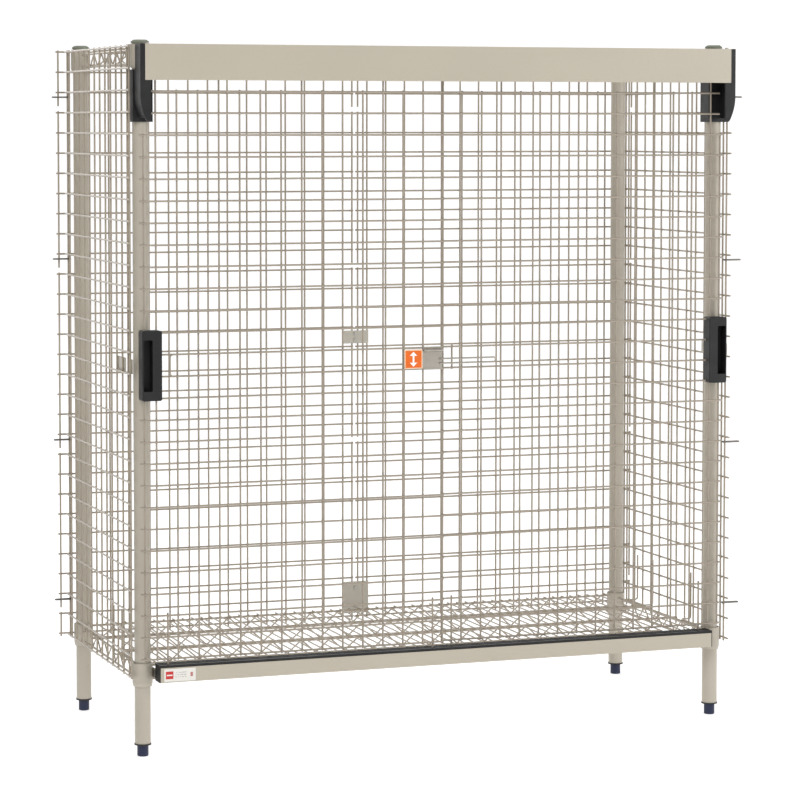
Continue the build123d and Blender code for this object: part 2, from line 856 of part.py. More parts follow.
def bent_row(side, lane):
    """One long row wire of a door at height zero, with its outer end bent back around the edge wire."""
    row_y = front(lane + mesh_wire / 2)
    with BuildPart() as row:
        bent_wire(
            [
                (side * (door_meeting_gap - row_stub / 2), row_y, 0),
                (side * (door_outer_wire + row_bend_start), row_y, 0),
                (side * (door_outer_wire + row_bend_end), row_y + row_bend_back, 0),
            ],
            row_bend_radius,
            mesh_wire,
        )
    return row.part


def door_grid(side, lane):
    column_y = front(lane - mesh_wire / 2)
    row_y = front(lane + mesh_wire / 2)
    full_rows = [z for z in door_rows[: len(door_rows) - short_rows] if not in_handle(z)]
    cut_rows = [z for z in door_rows if in_handle(z)]
    row = bent_row(side, lane)
    low, high = door_bottom_row - wire_end, door_top_row + wire_end
    sockets = (handle_heights[0] + wire_socket, handle_heights[1] - wire_socket)
    with BuildPart() as grid:
        hanging = [x for n, x in enumerate(door_columns) if n in hanger_columns and n > 0]
        ending = [x for n, x in enumerate(door_columns) if n not in hanger_columns]
        upright_wires([(side * x, column_y) for x in ending], low, high, mesh_wire)
        upright_wires([(side * x, column_y) for x in hanging], low, hanger_bar_top - 2, mesh_wire)
        outer = [(side * door_outer_wire, column_y)]
        upright_wires(outer, low, sockets[0], mesh_wire)
        upright_wires(outer, sockets[1], hanger_bar_top - 2, mesh_wire)
        edge = [(side * edge_wire_x, front(lane - edge_wire_in))]
        upright_wires(edge, low, sockets[0], mesh_wire)
        upright_wires(edge, sockets[1], full_rows[-1] + wire_end, mesh_wire)
        with Locations(*[(0, 0, z) for z in full_rows]):
            add(row)
        if latch_side == side:
            bar_y = row_y - (mesh_wire + stay_wire) / 2
            low_z, high_z = door_rows[latch_row], door_rows[latch_row + 1]
            points = [
                (side * stay_inner, bar_y, high_z),
                (side * (door_outer_wire - stay_inset), bar_y, high_z),
                (side * (door_outer_wire - stay_inset), bar_y, low_z),
                (side * stay_inner, bar_y, low_z),
            ]
            bent_wire(points, stay_wire * 2, stay_wire)
        near = side * (door_meeting_gap - row_stub / 2)
        for heights, end in (
            (cut_rows, handle_inner_edge + wire_socket),
            (door_rows[-short_rows:], door_outer_wire + short_row_stub),
        ):
            left, right = ordered(near, side * end)
            lengthwise_wires([(row_y, z) for z in heights], left, right, mesh_wire)
    return grid


def door_hanger(side, lane):
    near, far = ordered(side * (door_meeting_gap - row_stub / 2), side * (door_outer_wire + 5))
    with BuildPart() as hanger:
        bar_y = (front(lane + hanger_bar), front(lane))
        block((near, far), bar_y, (hanger_bar_top - hanger_bar_height, hanger_bar_top))
        for x in roller_columns:
            x = ordered(side * x - hanger_tab_width / 2, side * x + hanger_tab_width / 2)
            block(x, bar_y, (hanger_bar_top, roller_z + axle_head_diameter / 2 + 1))
        with Locations(*[(side * x, front(lane), roller_z) for x in roller_columns]):
            Cylinder(axle_diameter / 2, 4 * hanger_bar, rotation=(90, 0, 0), mode=Mode.SUBTRACT)
    return hanger


def roller_axles(side, lane):
    roller_end = hanger_bar + roller_gap + roller_width + axle_clearance
    with BuildPart() as axles:
        for diameter, near, far in (
            (axle_head_diameter, -axle_head, 0),
            (axle_diameter, 0, roller_end),
            (axle_head_diameter, roller_end, roller_end + axle_head),
        ):
            with BuildSketch(Plane.XZ.offset(-front(lane + near))):
                with Locations(*[(side * x, roller_z) for x in roller_columns]):
                    Circle(diameter / 2)
            extrude(amount=far - near)
    return axles


def roller(x, lane):
    start = front(lane + hanger_bar + roller_gap)
    with BuildPart() as wheel:
        with BuildSketch(Plane.XZ.offset(-start)):
            with Locations((x, roller_z)):
                Circle(roller_radius)
                Circle(axle_diameter / 2 + axle_clearance, mode=Mode.SUBTRACT)
        extrude(amount=roller_width)
        rims = wheel.edges().filter_by(lambda edge: edge.length > 6 * roller_radius)
        chamfer(rims, length=0.6)
    return wheel


def door_pins(side, lane):
    places = [door_outer_wire - column_pitch / 2, door_meeting_gap + column_pitch / 2]
    with BuildPart() as pins:
        upright_wires(
            [(side * x, front(lane - mesh_wire / 2)) for x in places],
            pin_bottom,
            door_rows[pin_rows] + wire_end + 2,
            pin_wire,
        )
    return pins


def door_handle(side, grid):
    x = ordered(side * handle_inner_edge, side * handle_outer_edge)
    y = (front(handle_reach[1]), front(handle_reach[0]))
    recess_x = ordered(
        side * (handle_outer_edge - recess_edge),
        side * (handle_outer_edge - recess_edge - recess_width),
    )
    recess_z = (handle_heights[0] + recess_end, handle_heights[1] - recess_end)
    with BuildPart() as handle:
        block(x, y, handle_heights)
        fillet(handle.edges().filter_by(Axis.Y), handle_round)
        fillet(handle.faces().sort_by(Axis.Y)[0].edges(), 1.5)
        with BuildSketch(Plane.XZ.offset(-y[0])):
            with Locations((sum(recess_x) / 2, sum(recess_z) / 2)):
                RectangleRounded(recess_width, recess_z[1] - recess_z[0], recess_round)
        extrude(amount=-recess_depth, mode=Mode.SUBTRACT)
        add(grid.part, mode=Mode.SUBTRACT)
    return handle


for side, name, lane in ((-1, "left", lane_front), (1, "right", lane_rear)):
    grid = door_grid(side, lane)
    save(f"{name}_door_grid", grid)
    save(f"{name}_door_hanger", door_hanger(side, lane))
    save(f"{name}_roller_axles", roller_axles(side, lane))
    save(f"{name}_door_pins", door_pins(side, lane))
    save(f"{name}_door_handle", door_handle(side, grid))
    for place, x in zip(("outer", "inner"), roller_columns):
        save(f"{name}_{place}_roller", roller(side * x, lane))

with BuildPart() as keeper_rod:
    upright_wires(
        [(door_meeting_gap + column_pitch / 2, front(lane_rear - mesh_wire / 2))],
        door_rows[latch_row] - wire_end,
        door_rows[latch_row + 1] + wire_end,
        mesh_wire,
    )
save("keeper_rod", keeper_rod)

# ---- latch on the left door ----
row_face = lane_front + mesh_wire
cell_bottom, cell_top = door_rows[latch_row], door_rows[latch_row + 1]
latch_pin_height = cell_bottom + latch_pin_rise
pin_y = front(row_face + latch_base_sheet + latch_pin_gap)
knuckles = (
    (latch_base_span[0], latch_base_span[0] + knuckle_length),
    (latch_base_span[1] - knuckle_length, latch_base_span[1]),
)
barrel = (knuckles[0][1] + knuckle_clearance, knuckles[1][0] - knuckle_clearance)


def tube_on_pin(span, bore_clearance, mode=Mode.ADD):
    """A sleeve around the latch pin from span[0] to span[1]."""
    with BuildSketch(Plane.YZ.offset(span[0])) as ring:
        with Locations((pin_y, latch_pin_height)):
            Circle(knuckle_diameter / 2)
            Circle(latch_pin_diameter / 2 + bore_clearance, mode=Mode.SUBTRACT)
    extrude(ring.sketch, amount=span[1] - span[0], mode=mode)


with BuildPart() as latch_base:
    base_y = (front(row_face + latch_base_sheet), front(row_face))
    block(latch_base_span, base_y, (cell_bottom - latch_base_lap, cell_top + latch_base_lap))
    neck_heights = (latch_pin_height - knuckle_diameter / 2, latch_pin_height + 1)
    for span in knuckles:
        block(span, (pin_y, base_y[1]), neck_heights)
    with BuildSketch(Plane.YZ.offset(latch_base_span[0])):
        with Locations((pin_y, latch_pin_height)):
            Circle(latch_pin_diameter / 2)
    extrude(amount=latch_base_span[1] - latch_base_span[0], mode=Mode.SUBTRACT)
    for span in knuckles:
        tube_on_pin(span, 0)
save("latch_base", latch_base)

with BuildPart() as latch_pin:
    lengthwise_wires([(pin_y, latch_pin_height)], *latch_pin_span, latch_pin_diameter)
save("latch_pin", latch_pin)

lever_back = row_face + latch_base_sheet + lever_gap
lever_y = (front(lever_back + lever_sheet), front(lever_back))
lever_bottom = cell_bottom + lever_rise
tab_heights = (cell_bottom + tab_rise[0], cell_bottom + tab_rise[1])
with BuildPart() as latch_lever:
    lever_top = latch_pin_height - knuckle_diameter / 2 - 1
    block(lever_span, lever_y, (lever_bottom, lever_top))
    right_edges = latch_lever.edges().filter_by(Axis.Y).group_by(Axis.X)[-1]
    fillet(right_edges, 6)
    block(tab_span, lever_y, tab_heights)
    block((tab_span[1], lever_span[0] + 8), lever_y, (lever_bottom, lever_top))
    block(barrel, lever_y, (lever_top, latch_pin_height - latch_pin_diameter / 2 - 0.6))
    tube_on_pin(barrel, lever_clearance)
save("latch_lever", latch_lever)

with BuildPart() as latch_label:
    label_x = sum(tab_span) / 2
    label_z = sum(tab_heights) / 2
    block(
        (label_x - latch_label_size / 2, label_x + latch_label_size / 2),
        (lever_y[0] - latch_label_thickness, lever_y[0]),
        (label_z - latch_label_size / 2, label_z + latch_label_size / 2),
    )
save("latch_label", latch_label)

with BuildPart() as hasp_loop:
    hasp_y = lever_y[0] - hasp_wire / 2
    hasp_heights = (cell_bottom + hasp_rise[0], cell_bottom + hasp_rise[1])
    turn = (hasp_heights[1] - hasp_heights[0]) / 2
    with BuildLine() as loop_path:
        Line((hasp_start, hasp_y, hasp_heights[1]), (hasp_end - turn, hasp_y, hasp_heights[1]))
        ThreePointArc(
            (hasp_end - turn, hasp_y, hasp_heights[1]),
            (hasp_end, hasp_y, sum(hasp_heights) / 2),
            (hasp_end - turn, hasp_y, hasp_heights[0]),
        )
        Line((hasp_end - turn, hasp_y, hasp_heights[0]), (hasp_start, hasp_y, hasp_heights[0]))
    with BuildSketch(Plane(origin=loop_path.line @ 0, z_dir=loop_path.line % 0)):
        Circle(hasp_wire / 2)
    sweep(path=loop_path.line)
save("hasp_loop", hasp_loop)
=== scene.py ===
import math
import bpy
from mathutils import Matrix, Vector


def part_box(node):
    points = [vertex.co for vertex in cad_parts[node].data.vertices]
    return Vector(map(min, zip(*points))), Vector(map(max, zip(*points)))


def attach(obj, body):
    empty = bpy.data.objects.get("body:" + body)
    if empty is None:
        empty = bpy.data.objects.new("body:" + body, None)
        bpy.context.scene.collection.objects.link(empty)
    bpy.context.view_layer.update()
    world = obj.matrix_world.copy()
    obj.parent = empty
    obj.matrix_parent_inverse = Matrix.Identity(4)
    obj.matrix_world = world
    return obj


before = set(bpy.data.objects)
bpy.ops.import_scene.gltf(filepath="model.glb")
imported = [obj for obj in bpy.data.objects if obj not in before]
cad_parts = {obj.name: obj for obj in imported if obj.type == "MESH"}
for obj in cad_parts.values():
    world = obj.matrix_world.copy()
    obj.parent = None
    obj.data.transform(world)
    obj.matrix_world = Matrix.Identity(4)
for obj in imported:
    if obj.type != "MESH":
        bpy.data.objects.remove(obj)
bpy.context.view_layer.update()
scene = bpy.context.scene
print("frame loaded:", len(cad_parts), "nodes")


# shader maths: a Value wraps one output socket, and operators on it add Math nodes
class Value:
    def __init__(self, paint, socket):
        self.paint = paint
        self.socket = socket

    def math(self, operation, first, second):
        return self.paint.node("ShaderNodeMath", [first, second], operation=operation)

    def __add__(self, other):
        return self.math("ADD", self, other)

    def __radd__(self, other):
        return self.math("ADD", other, self)

    def __sub__(self, other):
        return self.math("SUBTRACT", self, other)

    def __rsub__(self, other):
        return self.math("SUBTRACT", other, self)

    def __mul__(self, other):
        return self.math("MULTIPLY", self, other)

    def __rmul__(self, other):
        return self.math("MULTIPLY", other, self)

    def __gt__(self, other):
        return self.math("GREATER_THAN", self, other)

    def __lt__(self, other):
        return self.math("LESS_THAN", self, other)


# one material and its nodes
class Paint:
    def __init__(self, name, metallic=0.0, specular=0.5, coat=0.0, coatRoughness=0.2):
        self.material = bpy.data.materials.new(name)
        self.material.use_nodes = True
        self.tree = self.material.node_tree
        self.shader = self.tree.nodes["Principled BSDF"]
        self.shader.inputs["Metallic"].default_value = metallic
        self.shader.inputs["Specular IOR Level"].default_value = specular
        self.shader.inputs["Coat Weight"].default_value = coat
        self.shader.inputs["Coat Roughness"].default_value = coatRoughness
        self.coords = self.node("ShaderNodeTexCoord", out="Object")

    def node(self, kind, values=(), out=0, **settings):
        made = self.tree.nodes.new(kind)
        for key, value in settings.items():
            setattr(made, key, value)
        pairs = values.items() if isinstance(values, dict) else enumerate(values)
        for key, value in pairs:
            if isinstance(value, Value):
                self.tree.links.new(value.socket, made.inputs[key])
            elif value is not None:
                made.inputs[key].default_value = value
        return Value(self, made.outputs[out])

    def link(self, name, value):
        self.tree.links.new(value.socket, self.shader.inputs[name])

    def noise(self, scale, detail=3.0, roughness=0.5, vector=None):
        values = {"Vector": vector or self.coords, "Scale": scale, "Detail": detail,
                  "Roughness": roughness}
        return self.node("ShaderNodeTexNoise", values)

    def blend(self, mask, first, second):
        factorInput, firstInput, secondInput, colourOutput = 0, 6, 7, 2
        mixed = self.node("ShaderNodeMix", {factorInput: mask}, out=colourOutput,
                          data_type="RGBA")
        mixer = mixed.socket.node
        for place, colour in ((firstInput, first), (secondInput, second)):
            if isinstance(colour, Value):
                self.tree.links.new(colour.socket, mixer.inputs[place])
            else:
                mixer.inputs[place].default_value = (*colour, 1)
        return mixed

    def ramp(self, value, low, high):
        return self.node("ShaderNodeMapRange",
                         {"Value": value, "From Min": low, "From Max": high})

    def bump(self, height, strength, distance):
        self.link("Normal", self.node(
            "ShaderNodeBump", {"Height": height, "Strength": strength, "Distance": distance}))

    def split(self):
        made = self.node("ShaderNodeSeparateXYZ", [self.coords]).socket.node
        return [Value(self, made.outputs[n]) for n in range(3)]


# epoxy or powder coat: faint cloudy tone, orange-peel bump and a few flecks
coatLook = {
    "specular": 0.45, "coat": 0.25, "coatRoughness": 0.3,
    "cloudScale": 3.0, "cloudDetail": 4.0, "cloudRange": (0.35, 0.68),
    "fleckScale": 420.0, "fleckDetail": 2.0, "fleckRange": (0.52, 0.75),
    "fleckShade": 0.86, "fleckMix": 0.35, "fleckRelief": 0.2,
    "sheenScale": 90.0, "sheenSpread": 0.16, "bumpStrength": 0.25, "bumpDepth": 0.0003,
}


def coated(name, colour, shade, roughness, texture, coat=coatLook["coat"]):
    look = coatLook
    paint = Paint(name, specular=look["specular"], coat=coat,
                  coatRoughness=look["coatRoughness"])
    cloud = paint.ramp(paint.noise(look["cloudScale"], look["cloudDetail"]), *look["cloudRange"])
    fleck = paint.ramp(paint.noise(look["fleckScale"], look["fleckDetail"]), *look["fleckRange"])
    tone = paint.blend(cloud, colour, shade)
    speck = [c * look["fleckShade"] for c in shade]
    paint.link("Base Color", paint.blend(fleck * look["fleckMix"], tone, speck))
    sheen = paint.noise(look["sheenScale"]) * look["sheenSpread"]
    paint.link("Roughness", sheen + (roughness - look["sheenSpread"] / 2))
    relief = paint.noise(texture) + fleck * look["fleckRelief"]
    paint.bump(relief, look["bumpStrength"], look["bumpDepth"])
    return paint.material


# moulded plastic: fine grain, slightly lighter and smoother where it is rubbed
mouldLook = {
    "specular": 0.4, "rubScale": 14.0, "rubDetail": 5.0, "rubRange": (0.5, 0.78),
    "rubMix": 0.5, "rubSheen": -0.08, "sheenScale": 160.0, "sheenDetail": 2.0,
    "sheenSpread": 0.12, "grainDetail": 4.0, "grainRoughness": 0.6,
    "bumpStrength": 0.35, "bumpDepth": 0.0002,
}


def moulded(name, colour, worn, roughness, texture):
    look = mouldLook
    paint = Paint(name, specular=look["specular"])
    rub = paint.ramp(paint.noise(look["rubScale"], look["rubDetail"]), *look["rubRange"])
    paint.link("Base Color", paint.blend(rub * look["rubMix"], colour, worn))
    sheen = paint.noise(look["sheenScale"], look["sheenDetail"]) * look["sheenSpread"]
    paint.link("Roughness", rub * look["rubSheen"] + sheen + roughness)
    grain = paint.noise(texture, look["grainDetail"], look["grainRoughness"])
    paint.bump(grain, look["bumpStrength"], look["bumpDepth"])
    return paint.material


# plated metal, with a fine grain that the grain scale can stretch along an axis
plateLook = {
    "metallic": 0.9, "detail": 4.0, "streakScale": 220.0, "streakRange": (0.3, 0.75),
    "streakSheen": 0.14, "hazeScale": 24.0, "hazeRange": (0.4, 0.75), "hazeMix": 0.6,
    "hazeSheen": 0.12, "bumpStrength": 0.2, "bumpDepth": 0.0001,
}


def plated(name, colour, dull, roughness, grain=(1.0, 1.0, 1.0)):
    look = plateLook
    paint = Paint(name, metallic=look["metallic"])
    along = paint.node("ShaderNodeMapping", {"Vector": paint.coords, "Scale": grain})
    fine = paint.noise(look["streakScale"], look["detail"], vector=along)
    streak = paint.ramp(fine, *look["streakRange"])
    haze = paint.ramp(paint.noise(look["hazeScale"], look["detail"]), *look["hazeRange"])
    paint.link("Base Color", paint.blend(haze * look["hazeMix"], colour, dull))
    paint.link("Roughness", streak * look["streakSheen"] + haze * look["hazeSheen"] + roughness)
    paint.bump(streak, look["bumpStrength"], look["bumpDepth"])
    return paint.material


tones = {
    "post": ((0.475, 0.435, 0.36), (0.435, 0.395, 0.325)),
    "wire": ((0.39, 0.335, 0.265), (0.34, 0.29, 0.225)),
    "doorWire": ((0.36, 0.31, 0.25), (0.31, 0.265, 0.21)),
    "header": ((0.475, 0.43, 0.345), (0.455, 0.41, 0.33)),
    "black": ((0.008, 0.008, 0.009), (0.03, 0.03, 0.03)),
    "cap": ((0.20, 0.22, 0.17), (0.28, 0.30, 0.25)),
    "foot": ((0.012, 0.018, 0.055), (0.03, 0.04, 0.09)),
    "insert": ((0.02, 0.02, 0.02), (0.06, 0.06, 0.06)),
    "roller": ((0.62, 0.60, 0.54), (0.5, 0.48, 0.43)),
    "plate": ((0.52, 0.49, 0.42), (0.47, 0.44, 0.38)),
    "zinc": ((0.55, 0.53, 0.49), (0.42, 0.40, 0.37)),
    "latch": ((0.46, 0.425, 0.375), (0.30, 0.275, 0.24)),
    "darkSteel": ((0.20, 0.185, 0.165), (0.12, 0.11, 0.10)),
    "track": ((0.56, 0.54, 0.50), (0.44, 0.42, 0.38)),
}
# after its tones each finish has its roughness, then a texture scale and a coat, or a grain
finishes = {
    "postCoat": coated("postCoat", *tones["post"], 0.38, 650.0),
    "wireCoat": coated("wireCoat", *tones["wire"], 0.34, 500.0),
    "doorCoat": coated("doorCoat", *tones["doorWire"], 0.34, 500.0),
    "headerCoat": coated("headerCoat", *tones["header"], 0.33, 480.0, 0.35),
    "blackMoulding": moulded("blackMoulding", *tones["black"], 0.42, 900.0),
    "capMoulding": moulded("capMoulding", *tones["cap"], 0.5, 700.0),
    "footFinish": moulded("footFinish", *tones["foot"], 0.35, 500.0),
    "insertMoulding": moulded("insertMoulding", *tones["insert"], 0.5, 700.0),
    "rollerMoulding": moulded("rollerMoulding", *tones["roller"], 0.35, 500.0),
    "plateCoat": coated("plateCoat", *tones["plate"], 0.36, 520.0),
    "zinc": plated("zinc", *tones["zinc"], 0.28),
    "latchPlate": plated("latchPlate", *tones["latch"], 0.3),
    "darkSteel": plated("darkSteel", *tones["darkSteel"], 0.3),
    "trackSteel": plated("trackSteel", *tones["track"], 0.32, (0.05, 1, 1)),
}
print("finishes made:", len(finishes))

nodeFinishes = {
    "postCoat": ["front_left_post", "front_right_post", "rear_left_post", "rear_right_post",
                 "floor_shelf_collars", "roof_shelf_collars"],
    "wireCoat": ["floor_shelf_deck", "floor_shelf_trusses", "floor_shelf_zigzags",
                 "roof_shelf_deck", "roof_shelf_trusses", "roof_shelf_zigzags",
                 "left_side_panel", "right_side_panel", "left_rear_panel", "right_rear_panel",
                 "panel_clips"],
    "doorCoat": ["left_door_grid", "right_door_grid", "left_door_pins", "right_door_pins",
                 "keeper_rod"],
    "headerCoat": ["header_fascia", "front_rail"],
    "blackMoulding": ["left_header_bracket", "right_header_bracket", "left_door_handle",
                      "right_door_handle", "guide_track", "rail_end_caps", "shelf_sleeves"],
    "capMoulding": ["post_caps"],
    "footFinish": ["front_left_foot", "front_right_foot", "rear_left_foot", "rear_right_foot"],
    "insertMoulding": ["foot_inserts"],
    "rollerMoulding": ["left_outer_roller", "left_inner_roller", "right_outer_roller",
                       "right_inner_roller"],
    "plateCoat": ["upper_joiner_plate", "lower_joiner_plate", "side_panel_plates"],
    "zinc": ["joiner_screws", "header_screws", "rail_bolts", "left_roller_axles",
             "right_roller_axles", "rail_brackets"],
    "darkSteel": ["panel_loops", "latch_pin"],
    "latchPlate": ["latch_base", "hasp_loop", "latch_lever"],
    "trackSteel": ["upper_track", "left_door_hanger", "right_door_hanger"],
}


def wear(node, material):
    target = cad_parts[node]
    target.data.materials.clear()
    target.data.materials.append(material)


for finish, names in nodeFinishes.items():
    for name in names:
        wear(name, finishes[finish])


# printed labels, painted by place
def insideBox(paint, axes, centre, half):  # 1 inside the rectangle, 0 outside it
    bands = []
    for axis, middle, reach in zip(axes, centre, half):
        bands.append((axis > middle - reach) * (axis < middle + reach))
    return bands[0] * bands[1]


# an orange square with a pale edge and a double arrow; sizes are shares of half the label
latchPrint = {
    "specular": 0.4, "field": 0.9, "shaft": (0.1, 0.42), "headTip": 0.78, "headStart": 0.36,
    "orange": (0.80, 0.15, 0.012), "fadedOrange": (0.72, 0.13, 0.01),
    "edge": (0.86, 0.62, 0.42), "arrow": (0.9, 0.88, 0.84),
    "fadeScale": 60.0, "fadeRange": (0.3, 0.8), "fadeSheen": 0.1, "roughness": 0.3,
    "inkRelief": 0.5, "filmScale": 600.0, "filmDetail": 2.0, "filmRelief": 0.2,
    "bumpStrength": 0.2, "bumpDepth": 0.0002,
}


def latchFilm():
    look = latchPrint
    low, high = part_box("latch_label")
    middle, half = (low + high) / 2, (high.x - low.x) / 2
    centre = (middle.x, middle.z)
    paint = Paint("latchFilm", specular=look["specular"])
    x, _, z = paint.split()
    field = insideBox(paint, (x, z), centre, (half * look["field"], half * look["field"]))
    shaft = insideBox(paint, (x, z), centre, [half * share for share in look["shaft"]])
    across = paint.node("ShaderNodeMath", [x - middle.x], operation="ABSOLUTE")
    up = paint.node("ShaderNodeMath", [z - middle.z], operation="ABSOLUTE")
    head = (across < (up * -1.0 + half * look["headTip"])) * (up > half * look["headStart"])
    arrow = paint.node("ShaderNodeMath", [shaft, head], operation="MAXIMUM")
    fade = paint.ramp(paint.noise(look["fadeScale"]), *look["fadeRange"])
    orange = paint.blend(fade, look["orange"], look["fadedOrange"])
    square = paint.blend(field, look["edge"], orange)
    paint.link("Base Color", paint.blend(arrow * field, square, look["arrow"]))
    paint.link("Roughness", fade * look["fadeSheen"] + look["roughness"])
    film = paint.noise(look["filmScale"], look["filmDetail"]) * look["filmRelief"]
    paint.bump(field * look["inkRelief"] + film, look["bumpStrength"], look["bumpDepth"])
    return paint.material


# a white label with a red square, grey lines and a small stamp; each place is a share of the
# label's width, and each half size a share of its width and of its height
railPrint = {
    "specular": 0.4,
    "square": {"at": 0.17, "half": (0.12, 0.3)},
    "stripe": {"at": 0.17, "half": (0.09, 0.05)},
    "text": {"at": 0.53, "half": (0.19, 0.3)},
    "stamp": {"at": 0.87, "half": (0.04, 0.17)},
    "linesPerMetre": 190.0, "lineShare": 0.4, "letterScale": 500.0, "letterDetail": 1.0,
    "letterRange": (0.42, 0.5), "textMix": 0.6, "stampMix": 0.8, "paperScale": 40.0,
    "white": (0.80, 0.78, 0.73), "yellowed": (0.72, 0.70, 0.65), "red": (0.55, 0.03, 0.03),
    "stripeWhite": (0.8, 0.78, 0.74), "grey": (0.25, 0.25, 0.26), "stampRed": (0.4, 0.06, 0.06),
    "sheenScale": 120.0, "sheenSpread": 0.1, "roughness": 0.3, "filmScale": 500.0,
    "bumpStrength": 0.1, "bumpDepth": 0.0001,
}


def railFilm():
    look = railPrint
    low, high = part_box("rail_label")
    middle = (low + high) / 2
    width, height = high.x - low.x, high.z - low.z
    paint = Paint("railFilm", specular=look["specular"])
    x, _, z = paint.split()

    def printed(part):
        centre = (low.x + width * look[part]["at"], middle.z)
        half = (width * look[part]["half"][0], height * look[part]["half"][1])
        return insideBox(paint, (x, z), centre, half)

    lines = paint.node("ShaderNodeMath", [z * look["linesPerMetre"], 1.0], operation="FRACT")
    text = (lines < look["lineShare"]) * printed("text")
    letters = paint.ramp(paint.noise(look["letterScale"], look["letterDetail"]),
                         *look["letterRange"])
    colour = paint.blend(paint.noise(look["paperScale"]), look["white"], look["yellowed"])
    colour = paint.blend(printed("square"), colour, look["red"])
    colour = paint.blend(printed("stripe"), colour, look["stripeWhite"])
    colour = paint.blend(text * letters * look["textMix"], colour, look["grey"])
    colour = paint.blend(printed("stamp") * look["stampMix"], colour, look["stampRed"])
    paint.link("Base Color", colour)
    sheen = paint.noise(look["sheenScale"]) * look["sheenSpread"]
    paint.link("Roughness", sheen + look["roughness"])
    paint.bump(paint.noise(look["filmScale"]), look["bumpStrength"], look["bumpDepth"])
    return paint.material


# geometry nodes: one bead of weld at every crossing of a mesh, laid out as a flat grid;
# flat is how deep a bead is for its width
weldSizes = {"radius": 0.0029, "flat": 0.82, "subdivisions": 2}


def weldGridTree():
    tree = bpy.data.node_groups.new("weldGrid", "GeometryNodeTree")
    sockets = {}
    for name, kind in (("Geometry", "Geometry"), ("Width", "Float"), ("Height", "Float"),
                       ("Columns", "Int"), ("Rows", "Int"), ("Bead Radius", "Float"),
                       ("Bead Shape", "Vector"), ("Turn", "Vector"), ("Place", "Vector"),
                       ("Finish", "Material")):
        made = tree.interface.new_socket(name, in_out="INPUT", socket_type="NodeSocket" + kind)
        sockets[name] = made.identifier
    tree.interface.new_socket("Geometry", in_out="OUTPUT", socket_type="NodeSocketGeometry")
    given = tree.nodes.new("NodeGroupInput").outputs

    def add(kind, **links):
        made = tree.nodes.new("GeometryNode" + kind)
        for key, socket in links.items():
            tree.links.new(socket, made.inputs[key.replace("_", " ")])
        return made

    grid = add("MeshGrid", Size_X=given["Width"], Size_Y=given["Height"],
               Vertices_X=given["Columns"], Vertices_Y=given["Rows"])
    turned = add("Transform", Geometry=grid.outputs["Mesh"], Rotation=given["Turn"],
                 Translation=given["Place"])
    bead = add("MeshIcoSphere", Radius=given["Bead Radius"])
    bead.inputs["Subdivisions"].default_value = weldSizes["subdivisions"]
    placed = add("InstanceOnPoints", Points=turned.outputs[0], Instance=bead.outputs["Mesh"],
                 Scale=given["Bead Shape"])
    real = add("RealizeInstances", Geometry=placed.outputs[0])
    smooth = add("SetShadeSmooth", Geometry=real.outputs[0])
    painted = add("SetMaterial", Geometry=smooth.outputs[0], Material=given["Finish"])
    out = tree.nodes.new("NodeGroupOutput")
    tree.links.new(painted.outputs[0], out.inputs[0])
    return tree, sockets


weldTree, weldSockets = weldGridTree()


# across is the first and last column, rows the lowest and highest row and how many there are,
# and plane the X or Y that the grid stands at
def makeWelds(name, body, finish, across, columns, rows, plane, alongX=True):
    size = {"Width": across[1] - across[0], "Height": rows[1] - rows[0],
            "Columns": columns, "Rows": rows[2], "Bead Radius": weldSizes["radius"],
            "Finish": finishes[finish]}
    middle = (across[0] + across[1]) / 2
    height = (rows[0] + rows[1]) / 2
    if alongX:
        size["Turn"], size["Place"] = (math.pi / 2, 0, 0), (middle, plane, height)
        size["Bead Shape"] = (1, weldSizes["flat"], 1)
    else:
        size["Turn"], size["Place"] = (math.pi / 2, 0, math.pi / 2), (plane, middle, height)
        size["Bead Shape"] = (weldSizes["flat"], 1, 1)
    holder = bpy.data.objects.new(name + "Maker", bpy.data.meshes.new(name + "Maker"))
    scene.collection.objects.link(holder)
    modifier = holder.modifiers.new("welds", "NODES")
    modifier.node_group = weldTree
    for key, value in size.items():
        modifier[weldSockets[key]] = value
    depsgraph = bpy.context.evaluated_depsgraph_get()
    mesh = bpy.data.meshes.new_from_object(holder.evaluated_get(depsgraph))
    bpy.data.objects.remove(holder)
    mesh.name = name
    piece = bpy.data.objects.new(name, mesh)
    scene.collection.objects.link(piece)
    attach(piece, body)
    return len(mesh.polygons)


# half a door's mesh from the meeting wire to the outer wire, and its rows upwards
doorMesh = {
    "meetingWire": 0.0016, "outerWire": 0.7195, "columns": 15,
    "bottomRow": 0.2377, "rowSpacing": 0.0513, "rows": 27,
}
# how far a panel's wires run past its mesh, and how far the next wire is from its edge wire
panelMesh = {
    "wireTail": 0.007, "wireEnd": 0.004, "rows": 30,
    "frontStub": 0.014, "rearStub": 0.007, "sideEdgeGap": 0.0192, "sideColumns": 12,
    "rearMiddleWire": 0.008, "rearOuterStub": 0.005, "rearEdgeGap": 0.0257, "rearColumns": 15,
}


def panelWelds(name, ends, edgeGap, columns, rows, plane, alongX):  # edge wires, then the field
    made = 0
    field = (ends[0] + edgeGap, ends[1] - edgeGap)
    for area, across, count in (("Edge", ends, 2), ("Field", field, columns)):
        made += makeWelds(name + area + "Welds", "frame", "wireCoat",
                          across, count, rows, plane, alongX)
    return made


